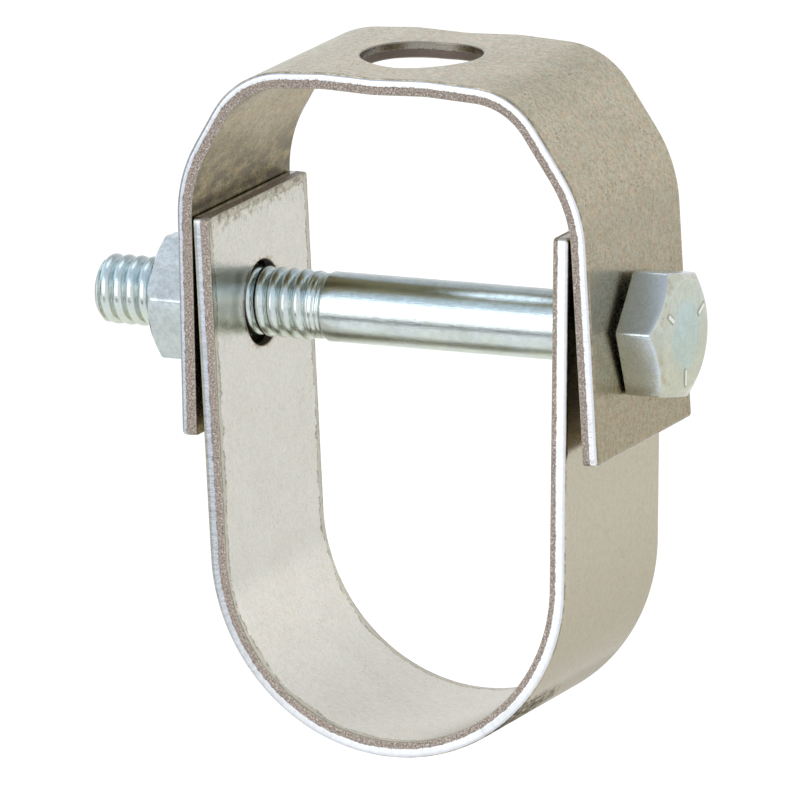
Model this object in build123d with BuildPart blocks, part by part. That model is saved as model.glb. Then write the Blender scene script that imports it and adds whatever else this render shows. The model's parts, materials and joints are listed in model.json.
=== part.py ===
"""Clevis pipe hanger: a bent yoke, a U-shaped cradle, and the bolt and nut that pin them together.

Millimetres and degrees. The origin is the centre of the rod hole, on the underside of the yoke's
top, where the hanger rod's lower nut seats. +Z runs up the rod, +X points at the bolt's head, and
the straps are as wide as they are along Y. Both straps are cut from the same strip.
"""
import os
from math import cos, radians, sin, tan

from build123d import *

os.makedirs("parts", exist_ok=True)

# Strip stock
strip_width = 21.1
strip_thickness = 1.5
edge_roll = 0.4               # rounding that the shear leaves along the outer face
end_corner_radius = 0.6       # the strip's ends, seen face on

# Cradle: the strap the pipe lies in
seat_radius = 15.92
seat_drop = 21.15             # from the bolt's axis down to the seat's axis
cradle_splay = 1.77           # each leg leans outwards by this much
cradle_leg_rise = 10.12       # legs stop about this far above the bolt's axis
cradle_slip = 0.38            # the strip was bent this far off its middle, so the head side is longer

# Yoke: the strap that hangs from the rod
bolt_drop = 22.25             # from the rod nut's seat down to the bolt's axis
cradle_offset = 0.36          # the cradle's middle stands this far to the head side of the rod hole
leg_gap = 0.15                # between the cradle's leg tops and the yoke
yoke_leg_reach = 10.25        # legs stop about this far below the bolt's axis
yoke_slip = 0.15              # this strip was bent off its middle too, so the nut side is longer
head_leg_splay = 2.3          # the leg under the bolt's head opens downwards
nut_leg_splay = 0.0
corner_half_span = 13.68      # the top's two corners, where its flat and the shoulders would meet
head_corner_radius = 7.5
nut_corner_radius = 8.6
corner_fall = 0.5             # the corners lie this far below the top's highest lines
shoulder_rise = 13.35         # from the bolt's axis up to where shoulders and legs would meet
shoulder_radius = 13.0
crown_half_span = 5.0         # the top dips a little between these two places
crown_rise = 0.2
crown_radius = 14.0

# Holes
rod_hole_diameter = 11.1
bolt_hole_diameter = 7.8
cradle_hole_drop = 0.2        # the cradle hangs, so its holes stand this far below the bolt's axis

# Bolt and nut, quarter inch
bolt_diameter = 6.35
bolt_length = 53.0
bolt_point = 0.55
shank_length = 30.35          # plain, at full diameter, from under the head
shoulder_length = 1.2         # tapers from the shank down to the blank that the thread is rolled on
blank_relief = 0.25           # the blank stands this far inside the plain shank; the crests don't
across_flats = 11.11
head_height = 4.15
head_turn = 11.0              # a corner of the head points this far above -Y
head_gap = 0.12               # between the head and the lowest place of the leg under it
nut_height = 5.56
nut_turn = 7.0
nut_gap = 0.05
nut_clearance = 0.06          # between the nut's bore and the thread's crests
corner_bevel = 30.0
bevel_circle_share = 0.95     # the bevelled faces' circle, as a share of the width across flats
bore_bevel = 0.45             # countersink at each mouth of the nut's bore

near = 0.01                   # how closely an edge is matched to the line it lies on


head_leg_rise = cradle_leg_rise + cradle_slip
nut_leg_rise = cradle_leg_rise - cradle_slip
head_leg_reach = yoke_leg_reach - yoke_slip
nut_leg_reach = yoke_leg_reach + yoke_slip


def outer_half_width(rise):
    """Half of the cradle's outer width at a height above the bolt's axis."""
    at_axis = (seat_radius + strip_thickness) / cos(radians(cradle_splay))
    return at_axis + (seat_drop + rise) * tan(radians(cradle_splay))


def yoke_leg_x(rise, splay, meets_at):
    """From the cradle's middle to the outer face of a yoke leg, which the cradle meets at a height."""
    where_it_meets = outer_half_width(meets_at) + leg_gap + strip_thickness / cos(radians(splay))
    return where_it_meets + (meets_at - rise) * tan(radians(splay))


def head_leg_x(rise):
    """X of the outer face of the yoke's leg under the bolt's head, at a height above the bolt's axis."""
    return cradle_offset + yoke_leg_x(rise, head_leg_splay, head_leg_rise)


def nut_leg_x(rise):
    """X of the outer face of the yoke's leg under the nut, at a height above the bolt's axis."""
    return cradle_offset - yoke_leg_x(rise, nut_leg_splay, nut_leg_rise)


head_side_x = head_leg_x(-across_flats / 2) + head_gap
nut_side_x = nut_leg_x(-across_flats / 2) - nut_gap
crest_radius = bolt_diameter / 2
blank_radius = bolt_diameter / 2 - blank_relief
corner_to_axis = across_flats / 2 / cos(radians(30))
bevel_circle_radius = across_flats / 2 * bevel_circle_share
bevel_depth = (corner_to_axis - bevel_circle_radius) * tan(radians(corner_bevel))

across = Plane((0, 0, -bolt_drop), x_dir=(1, 0, 0), z_dir=(0, -1, 0))
along = Plane((0, 0, -bolt_drop), x_dir=(0, 1, 0), z_dir=(1, 0, 0))
bolt_axis = Axis((0, 0, -bolt_drop), (1, 0, 0))


def place_across(edge):
    """The middle of an edge, in the plane that the straps' outlines are drawn in."""
    return across.to_local_coords(edge @ 0.5)


def outline_distance(edge, outline):
    """How far the middle of an edge stands inside the outline, seen along Y."""
    middle = place_across(edge)
    return outline.distance_to(Vector(middle.X, middle.Y))


def end_corners(strap, outline):
    """The short edges through the strip's thickness at the corners of its two ends."""
    return strap.edges().filter_by(
        lambda edge: abs(outline_distance(edge, outline) - strip_thickness / 2) < near
    )


def outer_rim(strap, outline):
    """The edges right round the strap's outer face: its long sides, its ends and their corners."""
    ends = [outline @ 0, outline @ 1]

    def on_rim(edge):
        middle = place_across(edge)
        beside = abs(middle.Z) > strip_width / 2 - end_corner_radius
        at_end = min((Vector(middle.X, middle.Y) - end).length for end in ends) < near
        return (beside or at_end) and outline_distance(edge, outline) < near
    return strap.edges().filter_by(on_rim)


# Yoke: one strip bent over the rod, with a leg down each side of the cradle
dip_height = bolt_drop + strip_thickness
crown_height = dip_height + crown_rise
corner_height = crown_height - corner_fall
yoke_points = [
    (nut_leg_x(-nut_leg_reach), -nut_leg_reach),
    (nut_leg_x(shoulder_rise), shoulder_rise),
    (-corner_half_span, corner_height),
    (-crown_half_span, crown_height),
    (0, dip_height),
    (crown_half_span, crown_height),
    (corner_half_span, corner_height),
    (head_leg_x(shoulder_rise), shoulder_rise),
    (head_leg_x(-head_leg_reach), -head_leg_reach),
]
nut_bends = [shoulder_radius, nut_corner_radius, crown_radius]
head_bends = [crown_radius, head_corner_radius, shoulder_radius]
yoke_bends = nut_bends + [crown_radius] + head_bends

with BuildPart() as yoke:
    with BuildSketch(across):
        with BuildLine():
            yoke_outline = FilletPolyline(*yoke_points, radius=yoke_bends)
            offset(amount=strip_thickness, side=Side.RIGHT)
        make_face()
    extrude(amount=strip_width / 2, both=True)
    fillet(end_corners(yoke, yoke_outline), radius=end_corner_radius)
    fillet(outer_rim(yoke, yoke_outline), radius=edge_roll)
    with BuildSketch(Plane.XY):
        Circle(rod_hole_diameter / 2)
    extrude(amount=2 * strip_thickness, both=True, mode=Mode.SUBTRACT)
    with BuildSketch(along):
        Circle(bolt_hole_diameter / 2)
    extrude(amount=bolt_length, both=True, mode=Mode.SUBTRACT)
yoke.part.label = "yoke"
export_step(yoke.part, "parts/yoke.step")


# Cradle: the same strip bent under the pipe, pinned between the yoke's legs
seat_centre = (cradle_offset, -seat_drop)
with BuildPart() as cradle:
    with BuildSketch(across):
        with BuildLine():
            with BuildLine() as cradle_line:
                seat = CenterArc(
                    seat_centre, seat_radius + strip_thickness, 180 + cradle_splay, 180 - 2 * cradle_splay
                )
                Line((cradle_offset - outer_half_width(nut_leg_rise), nut_leg_rise), seat @ 0)
                Line(seat @ 1, (cradle_offset + outer_half_width(head_leg_rise), head_leg_rise))
            cradle_outline = cradle_line.wire()
            offset(cradle_outline, amount=strip_thickness, side=Side.LEFT)
        make_face()
    extrude(amount=strip_width / 2, both=True)
    fillet(end_corners(cradle, cradle_outline), radius=end_corner_radius)
    fillet(outer_rim(cradle, cradle_outline), radius=edge_roll)
    with BuildSketch(along):
        with Locations((0, -cradle_hole_drop)):
            Circle(bolt_hole_diameter / 2)
    extrude(amount=bolt_length, both=True, mode=Mode.SUBTRACT)
cradle.part.label = "cradle"
export_step(cradle.part, "parts/cradle.step")


# Bolt: hexagon head outside one yoke leg, plain shank through both straps, threaded end
with BuildPart() as bolt:
    with BuildSketch(along.offset(head_side_x)):
        RegularPolygon(across_flats / 2, 6, major_radius=False, rotation=-head_turn)
    extrude(amount=head_height)
    with BuildSketch(across):
        with BuildLine():
            Polyline(
                (head_side_x, 0),
                (head_side_x, corner_to_axis),
                (head_side_x + head_height - bevel_depth, corner_to_axis),
                (head_side_x + head_height, bevel_circle_radius),
                (head_side_x + head_height, 0),
                close=True,
            )
        make_face()
    revolve(axis=bolt_axis, mode=Mode.INTERSECT)
    with BuildSketch(across):
        with BuildLine():
            Polyline(
                (head_side_x, 0),
                (head_side_x, crest_radius),
                (head_side_x - shank_length, crest_radius),
                (head_side_x - shank_length - shoulder_length, blank_radius),
                (head_side_x - shank_length - shoulder_length, crest_radius),
                (head_side_x - bolt_length + bolt_point, crest_radius),
                (head_side_x - bolt_length, crest_radius - bolt_point),
                (head_side_x - bolt_length, 0),
                close=True,
            )
        make_face()
    revolve(axis=bolt_axis)
bolt.part.label = "bolt"
export_step(bolt.part, "parts/bolt.step")


# Nut: hexagon bevelled on both faces, turned up against the other yoke leg
with BuildPart() as nut:
    with BuildSketch(along.offset(nut_side_x)):
        RegularPolygon(across_flats / 2, 6, major_radius=False, rotation=-nut_turn)
    extrude(amount=-nut_height)
    with BuildSketch(across):
        with BuildLine():
            Polyline(
                (nut_side_x, 0),
                (nut_side_x, bevel_circle_radius),
                (nut_side_x - bevel_depth, corner_to_axis),
                (nut_side_x - nut_height + bevel_depth, corner_to_axis),
                (nut_side_x - nut_height, bevel_circle_radius),
                (nut_side_x - nut_height, 0),
                close=True,
            )
        make_face()
    revolve(axis=bolt_axis, mode=Mode.INTERSECT)
    with BuildSketch(along.offset(nut_side_x)):
        Circle(crest_radius + nut_clearance)
    extrude(amount=-nut_height, mode=Mode.SUBTRACT)
    chamfer(nut.edges().filter_by(GeomType.CIRCLE).sort_by(SortBy.RADIUS)[:2], length=bore_bevel)
nut.part.label = "nut"
export_step(nut.part, "parts/nut.step")
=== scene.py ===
"""Clevis pipe hanger, dressed: two zinc plated straps bent from sheared strip, and a bolt with its nut.

Lengths inside the classes are millimetres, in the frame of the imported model: the origin is the
middle of the rod hole on the underside of the yoke's top, +Z up the rod, +X towards the bolt's head
and Y across the straps. Meshes are put into Blender in metres.
"""
import json
import logging
from collections.abc import Callable
from dataclasses import dataclass
from enum import Enum
from functools import cache
from math import ceil, cos, pi, radians, sin, tan

import bmesh
import bpy
import numpy as np
from mathutils import Matrix, Vector


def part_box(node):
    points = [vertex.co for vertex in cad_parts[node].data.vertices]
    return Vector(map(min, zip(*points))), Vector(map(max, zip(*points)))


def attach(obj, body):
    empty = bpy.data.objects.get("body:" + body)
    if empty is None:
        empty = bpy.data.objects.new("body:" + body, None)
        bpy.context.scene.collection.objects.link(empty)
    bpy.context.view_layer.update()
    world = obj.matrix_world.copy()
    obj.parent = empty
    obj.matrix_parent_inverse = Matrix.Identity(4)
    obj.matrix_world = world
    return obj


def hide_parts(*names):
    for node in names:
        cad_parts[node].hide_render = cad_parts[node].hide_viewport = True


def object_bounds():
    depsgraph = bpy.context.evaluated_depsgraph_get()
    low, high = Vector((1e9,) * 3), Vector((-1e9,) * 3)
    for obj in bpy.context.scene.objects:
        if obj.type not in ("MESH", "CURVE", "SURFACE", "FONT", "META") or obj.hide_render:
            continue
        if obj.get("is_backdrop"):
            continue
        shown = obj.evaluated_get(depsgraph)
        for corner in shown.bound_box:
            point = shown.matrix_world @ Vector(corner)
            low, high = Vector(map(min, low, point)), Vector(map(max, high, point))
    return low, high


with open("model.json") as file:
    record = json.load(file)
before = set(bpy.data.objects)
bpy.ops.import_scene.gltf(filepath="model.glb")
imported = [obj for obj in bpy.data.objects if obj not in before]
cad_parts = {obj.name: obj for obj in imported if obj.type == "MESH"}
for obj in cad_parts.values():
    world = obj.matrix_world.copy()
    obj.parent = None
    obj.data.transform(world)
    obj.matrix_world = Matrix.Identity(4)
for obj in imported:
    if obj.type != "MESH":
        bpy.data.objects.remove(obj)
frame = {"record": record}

log = logging.getLogger("hanger")

MM = 0.001
WELD = 2e-6  # metres; points closer than this become one
HAIR = 1e-6  # millimetres; places closer than this are the same
WHITE = (1.0, 1.0, 1.0)

Array = np.ndarray
Colour = tuple[float, float, float]
Socket = bpy.types.NodeSocket


def eased(share: Array) -> Array:
    """A share kept between 0 and 1 that leaves both ends softly: 3 s^2 - 2 s^3."""
    share = np.clip(share, 0, 1)
    return share * share * (3 - 2 * share)


# ---------------------------------------------------------------- surfaces


class Surface:
    """A closed skin gathered from grids of points that share their borders."""

    def __init__(self) -> None:
        """Starts an empty skin."""
        self.points: list[Array] = []
        self.faces: list[Array] = []
        self.kinds: list[Array] = []
        self.marks: dict[str, list[Array]] = {}
        self.count = 0

    def add_grid(
        self,
        points: Array,
        marks: dict[str, Array],
        ring: bool = False,
        keep: Array | bool = True,
        kind: Array | int = 0,
    ) -> None:
        """Adds a grid of points and the quads between its neighbours.

        Each quad joins (row, column) to the next row and the next column, so its corner numbers are
        the row number times the columns plus the column number, all worked out at once.

        Args:
            points: rows x columns x 3, in millimetres.
            marks: values to keep at each point, rows x columns or rows x columns x 3, by name.
            ring: whether the last column joins the first.
            keep: which quads to keep.
            kind: the finish's number for the quads, one for all or one for each row of quads.
        """
        rows, columns = points.shape[:2]
        number = np.arange(rows * columns).reshape(rows, columns) + self.count
        if ring:
            number = np.concatenate([number, number[:, :1]], axis=1)
        quads = np.stack([number[:-1, :-1], number[1:, :-1], number[1:, 1:], number[:-1, 1:]], axis=-1)
        kept = np.broadcast_to(keep, quads.shape[:2])
        self.faces.append(quads[kept])
        self.kinds.append(np.broadcast_to(np.reshape(kind, (-1, 1)), kept.shape)[kept])
        self.points.append(points.reshape(-1, 3))
        for name, values in marks.items():
            self.marks.setdefault(name, []).append(values.reshape(rows * columns, -1))
        self.count += rows * columns

    def piece(self, name: str, *finishes: bpy.types.Material) -> bpy.types.Object:
        """Makes the Blender object: borders welded, faces turned outwards, smooth.

        Args:
            name: the piece's name.
            finishes: its materials, in the order that the quads' numbers use.

        Returns:
            The new object, standing at the origin with its place in its mesh.
        """
        mesh = bpy.data.meshes.new(name)
        mesh.from_pydata((np.concatenate(self.points) * MM).tolist(), [], np.concatenate(self.faces).tolist())
        mesh.polygons.foreach_set("material_index", np.concatenate(self.kinds).astype(np.int32))
        for mark, parts in self.marks.items():
            values = np.concatenate(parts).astype(np.float32)
            kind, data = ("FLOAT_VECTOR", "vector") if values.shape[1] == 3 else ("FLOAT", "value")
            mesh.attributes.new(mark, kind, "POINT").data.foreach_set(data, values.ravel())
        skin = bmesh.new()
        skin.from_mesh(mesh)
        bmesh.ops.remove_doubles(skin, verts=skin.verts, dist=WELD)
        bmesh.ops.recalc_face_normals(skin, faces=skin.faces)
        skin.to_mesh(mesh)
        open_edges = sum(not edge.is_manifold for edge in skin.edges)
        skin.free()
        mesh.polygons.foreach_set("use_smooth", np.ones(len(mesh.polygons), bool))
        for finish in finishes:
            mesh.materials.append(finish)
        mesh.update()
        made = bpy.data.objects.new(name, mesh)
        bpy.context.scene.collection.objects.link(made)
        log.info("%s: %d faces, %d open edges", name, len(mesh.polygons), open_edges)
        return made


def dress(piece: bpy.types.Object, node: str) -> None:
    """Puts a piece in place of the CAD node of the same body.

    Args:
        piece: the piece.
        node: the CAD node.
    """
    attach(piece, node)
    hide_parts(node)


# ---------------------------------------------------------------- straps


@dataclass(frozen=True)
class BentLine:
    """Straight runs joined by round bends, as a function of the length along it."""

    starts: Array  # the length along the line at which each run begins
    places: Array  # where each run begins, (x, z)
    headings: Array  # in which direction, in radians from +X towards +Z
    bends: Array  # each run's curvature, positive to the left and zero when straight
    length: float

    @staticmethod
    def through(corners: Array, radii: Array) -> "BentLine":
        """Rounds each inner corner of a line of straight runs.

        A bend of radius r that turns by angle a begins r tan(a / 2) before its corner, ends as far
        after it, and is r a long.

        Args:
            corners: n x 2, from one end to the other.
            radii: n - 2 radii, one for each inner corner.

        Returns:
            The rounded line.
        """
        steps = np.diff(corners, axis=0)
        lengths = np.hypot(*steps.T)
        headings = np.arctan2(steps[:, 1], steps[:, 0])
        turns = (np.diff(headings) + pi) % (2 * pi) - pi
        cut = radii * np.tan(np.abs(turns) / 2)
        run_lengths, run_bends = np.empty(2 * len(radii) + 1), np.zeros(2 * len(radii) + 1)
        run_lengths[0::2] = lengths - np.append(0, cut) - np.append(cut, 0)
        run_lengths[1::2] = radii * np.abs(turns)
        run_bends[1::2] = np.sign(turns) / radii
        unit = steps / lengths[:, None]
        places = np.empty((len(run_lengths), 2))
        places[0] = corners[0]
        places[2::2] = corners[1:-1] + unit[1:] * cut[:, None]
        places[1::2] = corners[1:-1] - unit[:-1] * cut[:, None]
        starts = np.concatenate([[0], np.cumsum(run_lengths)])
        return BentLine(starts[:-1], places, np.repeat(headings, 2)[:-1], run_bends, float(starts[-1]))

    def at(self, along: Array) -> tuple[Array, Array]:
        """Places and headings at lengths along the line.

        On a run with curvature k that begins at p with heading h, the heading at distance d is h + k d
        and the place is p + d sinc(k d / 2) (cos, sin)(h + k d / 2), which also holds when k is zero.

        Args:
            along: lengths from the line's start, of any shape.

        Returns:
            Places, with one more axis of 2, and headings in radians.
        """
        run = np.clip(np.searchsorted(self.starts, along, side="right") - 1, 0, len(self.starts) - 1)
        past = along - self.starts[run]
        half_turn = self.bends[run] * past / 2
        chord = past * np.sinc(half_turn / pi)
        middle = self.headings[run] + half_turn
        place = self.places[run] + chord[..., None] * np.stack([np.cos(middle), np.sin(middle)], axis=-1)
        return place, middle + half_turn


class Inside(Enum):
    """The side of a strap's outline on which its metal lies."""

    LEFT = 1
    RIGHT = -1


@dataclass(frozen=True)
class Shear:
    """How a cut edge goes through the strip's thickness, from the outer face to the inner one."""

    roll: float = 0.4  # radius of the rolled-over corner at the outer face
    land: float = 0.74  # depth at which the smooth land ends and the broken part begins
    taper: float = 0.05  # how far the broken part falls back
    lip: float = 0.09  # radius of the small rounding at the inner face

    def profile(self, thickness: float) -> tuple[Array, Array]:
        """Depth through the strip and distance inside the strip's outline, step by step.

        A quarter circle of the roll's radius, a straight land, a straight taper, then a quarter circle
        of the lip's radius.

        Args:
            thickness: the strip's thickness.

        Returns:
            Depths and insets, one for each step.
        """
        turn = np.linspace(0, pi / 2, 8)
        share = np.linspace(0, 1, 5)[1:]
        lip_turn, broken_end = turn[2::2], thickness - self.lip
        depth = [
            self.roll * (1 - np.cos(turn)),
            self.roll + (self.land - self.roll) * share,
            self.land + (broken_end - self.land) * share,
            broken_end + self.lip * np.sin(lip_turn),
            [thickness],
        ]
        lip_inset = self.taper + self.lip * (1 - np.cos(lip_turn))
        inset = [self.roll * (1 - np.sin(turn)), 0 * share, self.taper * share, lip_inset, [self.taper + self.lip]]
        return np.concatenate(depth), np.concatenate(inset)


@dataclass(frozen=True)
class Hole:
    """A round hole punched in the flat strip."""

    along: float  # its middle's distance from the strip's first end
    radius: float
    roll: float = 0.12  # how far its edge is drawn in on the outer face
    bright: float = 0.4  # the share of the thickness that the punch burnished
    flare: float = 0.02  # how much wider it ends at the inner face

    def wall(self, thickness: float) -> tuple[Array, Array]:
        """Depths and how much wider than itself the hole is at each."""
        return Shear(self.roll, thickness * self.bright, self.flare, self.flare).profile(thickness)


@dataclass
class BentStrap:
    """A strip with punched holes, bent along a line."""

    name: str
    line: BentLine  # the outline of its outer face
    inside: Inside
    width: float
    thickness: float
    holes: list[Hole]  # in order along the strip
    shear: Shear = Shear()  # its sheared edge at its first end
    far_shear: Shear = Shear()  # the same at its second end
    changes: tuple[float, float] = (25.0, 45.0)  # where along the strip the first turns into the second
    corner: float = 0.45  # radius of its corners, seen face on
    block: float = 8.0  # half the side of the square round each hole that is divided towards the hole
    cell: float = 0.55  # about how far apart the grid's lines are
    rings: int = 9  # steps from a hole's edge to its square
    crowding: float = 1.2  # above 1, those steps are closer together at the hole

    def bend(self, along: Array, across: Array, depth: Array) -> Array:
        """Bends the flat strip.

        The place on the outer face's line, moved by the depth along the line's inward normal, with the
        distance across kept as y.

        Args:
            along: distance from the first end, measured on the outer face.
            across: distance from the strip's middle.
            depth: distance below the outer face.

        Returns:
            The points, with one more axis of 3.
        """
        place, heading = self.line.at(along)
        inward = self.inside.value * depth
        x, z = place[..., 0] - inward * np.sin(heading), place[..., 1] + inward * np.cos(heading)
        return np.stack([x, np.broadcast_to(across, x.shape), z], axis=-1)

    def square_cells(self) -> int:
        """How many cells a hole's square has along one side."""
        return 2 * ceil(self.block / self.cell)

    def grid_lines(self, start: float, end: float, inset: float, stops: list[float]) -> Array:
        """Lines of the face's grid between two edges of the strip, which stand an inset inside them.

        Args:
            start: one edge.
            end: the other edge.
            inset: how far inside both edges the lines begin and end.
            stops: places that must have a line, in order; every other stretch between them is a hole's
                square and is cut into the same number of equal cells.

        Returns:
            The lines' places, as many for any inset.
        """
        near = np.linspace(0, 1, 5)[:-1] * (self.corner - inset) + inset
        marks = [start + self.corner, *stops, end - self.corner]
        parts = [start + near]
        for number, (a, b) in enumerate(zip(marks[:-1], marks[1:])):
            steps = self.square_cells() if number % 2 else max(2, ceil((b - a) / self.cell))
            parts.append(np.linspace(a, b, steps + 1)[:-1])
        return np.concatenate([*parts, [marks[-1]], (end - near)[::-1]])

    def face_lines(self, inset: float) -> tuple[Array, Array]:
        """The face's grid lines along and across.

        Args:
            inset: how far inside the strip's outline the face's border runs.

        Returns:
            The lines' places along and across.
        """
        stops = [place for hole in self.holes for place in (hole.along - self.block, hole.along + self.block)]
        along = self.grid_lines(0, self.line.length, inset, stops)
        return along, self.grid_lines(-self.width / 2, self.width / 2, inset, [-self.block, self.block])

    def round_corners(self, along: Array, across: Array, inset: float) -> tuple[Array, Array]:
        """Rounds the four corners of the flat strip.

        In each corner's square, whose inner corner is the rounding's middle, a point at shares (a, b)
        of the radius goes to (a sqrt(1 - b b / 2), b sqrt(1 - a a / 2)), which turns the square's outer
        sides into an arc and leaves its inner sides alone.

        Args:
            along: distances from the first end.
            across: distances from the middle.
            inset: how far inside the strip's outline the face's border runs.

        Returns:
            The moved distances along and across.
        """
        radius = self.corner - inset
        a = (along - along.clip(self.corner, self.line.length - self.corner)) / radius
        b = (np.abs(across) - self.width / 2 + self.corner).clip(0) * np.sign(across) / radius
        moved_a = a * np.sqrt(np.clip(1 - b * b / 2, 0, 1))
        moved_b = b * np.sqrt(np.clip(1 - a * a / 2, 0, 1))
        return along + (moved_a - a) * radius, across + (moved_b - b) * radius

    def face_grid(self, inset: float) -> tuple[Array, Array]:
        """The face's grid of places along and across, an inset inside the strip's outline."""
        along, across = np.meshgrid(*self.face_lines(inset), indexing="ij")
        return self.round_corners(along, across, inset)

    def outline(self, inset: float) -> tuple[Array, Array]:
        """The strip's border: down one side, over the end, back up the other side and over the first end.

        Args:
            inset: how far inside the strip's outline it runs.

        Returns:
            Its points' distances along and across, in order round it.
        """
        along, across = self.face_lines(inset)
        side, end = np.ones(len(along) - 1), np.ones(len(across) - 1)
        around_along = np.concatenate([along[:-1], end * along[-1], along[:0:-1], end * along[0]])
        around_across = np.concatenate([side * across[0], across[:-1], side * across[-1], across[:0:-1]])
        return self.round_corners(around_along, around_across, inset)

    def square(self, hole: Hole) -> tuple[Array, Array]:
        """The border of a hole's square: four sides of equal steps, from its first corner.

        Args:
            hole: the hole.

        Returns:
            Its points' distances along and across, in order round it.
        """
        side = np.linspace(-self.block, self.block, self.square_cells() + 1)[:-1]
        full = np.full_like(side, self.block)
        return np.concatenate([side, full, -side, -full]) + hole.along, np.concatenate([-full, side, full, -side])

    def circle(self, hole: Hole, grow: float) -> tuple[Array, Array]:
        """A hole's edge: equal angles, as many as its square's border has points and in the same order.

        Args:
            hole: the hole.
            grow: how much wider than itself the hole is here.

        Returns:
            Its points' distances along and across, in order round it.
        """
        count = 4 * self.square_cells()
        angle = np.arange(count) / count * 2 * pi - 3 * pi / 4
        return hole.along + (hole.radius + grow) * np.cos(angle), (hole.radius + grow) * np.sin(angle)

    def between(self, near: tuple[Array, ...], far: tuple[Array, ...]) -> list[Array]:
        """Goes from the strip's near form to its far form, by a soft share of the length along it.

        Args:
            near: values for the form at the first end, of which the first are lengths along the strip.
            far: the same values for the form at the second end.

        Returns:
            The values between.
        """
        start, end = self.changes
        share = eased((near[0] - start) / (end - start))
        return [a + (b - a) * share for a, b in zip(near, far)]

    def add(self, skin: Surface, along: Array, across: Array, depth: Array | float, **more: object) -> None:
        """Bends one grid of the flat strip and adds it to the skin, with what the finishes read.

        "strip" is the place in the flat strip and "through" the depth's share of the thickness. "edge",
        "end" and "bore" are the distances to the nearest edge, to the nearer end and to the nearest hole.

        Args:
            skin: the skin to add to.
            along: distances from the first end.
            across: distances from the middle.
            depth: distances below the outer face.
            more: what else the skin is told about the grid.
        """
        depth = np.broadcast_to(depth, along.shape)
        end = np.minimum(along, self.line.length - along)
        marks = {
            "strip": np.stack([along, across, depth], axis=-1),
            "through": depth / self.thickness,
            "edge": np.minimum(end, self.width / 2 - np.abs(across)),
            "end": end,
            "bore": np.min([np.hypot(along - hole.along, across) - hole.radius for hole in self.holes], axis=0),
        }
        skin.add_grid(self.bend(along, across, depth), marks, **more)

    def add_face(self, skin: Surface, depth: float, insets: tuple[float, float], grow: list[float]) -> None:
        """Adds one broad face: a grid with a square left out round each hole, and a ring in each square.

        The ring goes from the hole's circle, at equal angles, in equal steps to the square's border
        points, so both share the grid's points.

        Args:
            skin: the skin to add to.
            depth: the face's depth, 0 or the thickness.
            insets: how far inside the strip's outline the face ends, at the first and the second end.
            grow: how much wider than itself each hole is at this face.
        """
        middle_along, middle_across = ((lines[:-1] + lines[1:]) / 2 for lines in self.face_lines(0.0))
        keep = np.ones((len(middle_along), len(middle_across)), bool)
        for hole in self.holes:
            keep &= (np.abs(middle_along - hole.along)[:, None] > self.block) | (np.abs(middle_across) > self.block)
        self.add(skin, *self.between(self.face_grid(insets[0]), self.face_grid(insets[1])), depth, keep=keep)
        share = np.linspace(0, 1, self.rings + 1)[:, None] ** self.crowding
        for hole, wider in zip(self.holes, grow):
            rim, side = self.circle(hole, wider), self.square(hole)
            self.add(skin, *(a + (b - a) * share for a, b in zip(rim, side)), depth, ring=True)

    def build(self, finish: bpy.types.Material) -> bpy.types.Object:
        """Makes the strap: two faces, the sheared edge round its outline and the wall of each hole.

        Args:
            finish: its material.

        Returns:
            The strap's object.
        """
        skin = Surface()
        profiles = [form.profile(self.thickness) for form in (self.shear, self.far_shear)]
        walls = [hole.wall(self.thickness) for hole in self.holes]
        for row in (0, -1):
            insets = (profiles[0][1][row], profiles[1][1][row])
            self.add_face(skin, profiles[0][0][row], insets, [wall[1][row] for wall in walls])
        borders = []
        for depth, inset in profiles:
            around = np.array([self.outline(step) for step in inset])
            borders.append((around[:, 0], around[:, 1], depth[:, None] + 0 * around[:, 0]))
        self.add(skin, *self.between(*borders), ring=True)
        for hole, (depth, inset) in zip(self.holes, walls):
            rim = np.array([self.circle(hole, step) for step in inset])
            self.add(skin, rim[:, 0], rim[:, 1], depth[:, None], ring=True)
        return skin.piece(self.name, finish)


# ---------------------------------------------------------------- bolt and nut


@dataclass(frozen=True)
class Thread:
    """A rolled right-hand thread about the bolt's axis."""

    crest: float  # radius at the crests
    start: float  # x of a groove's middle at +Y
    depth: float = 0.76  # from the crests to the roots, were those sharp
    pitch: float = 1.27  # advance in one turn
    fullness: float = 0.32  # how broad the crests are; 1 is a plain sine's lobe
    root: float = 0.06  # rounding of the groove's bottom, as a share of a half turn
    rows: int = 20  # rows of points in one pitch

    def surface(self, turn: Array, x: Array) -> Array:
        """Radius of the thread's surface: its crest less its depth times the groove's share.

        The share is one less the size of the sine of half the phase to the power of the fullness, so
        lobes stand between sharp grooves; the phase is x over the pitch less the turn, and the sharp
        bottom is softened by the root's share.

        Args:
            turn: angle about +X from +Y towards +Z, in radians.
            x: place along the axis.

        Returns:
            The radii.
        """
        phase = pi * ((x - self.start) / self.pitch - turn / (2 * pi))
        lobe = np.sqrt(np.sin(phase) ** 2 + self.root**2) / np.sqrt(1 + self.root**2)
        return self.crest - self.depth * (1 - lobe**self.fullness)

    def grid(self, start: float, end: float, turn: Array) -> tuple[Array, Array]:
        """A grid of places along the axis and of angles, from one place to another."""
        steps = int(abs(end - start) / self.pitch * self.rows)
        return np.meshgrid(np.linspace(start, end, steps + 1), turn, indexing="ij")


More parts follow.
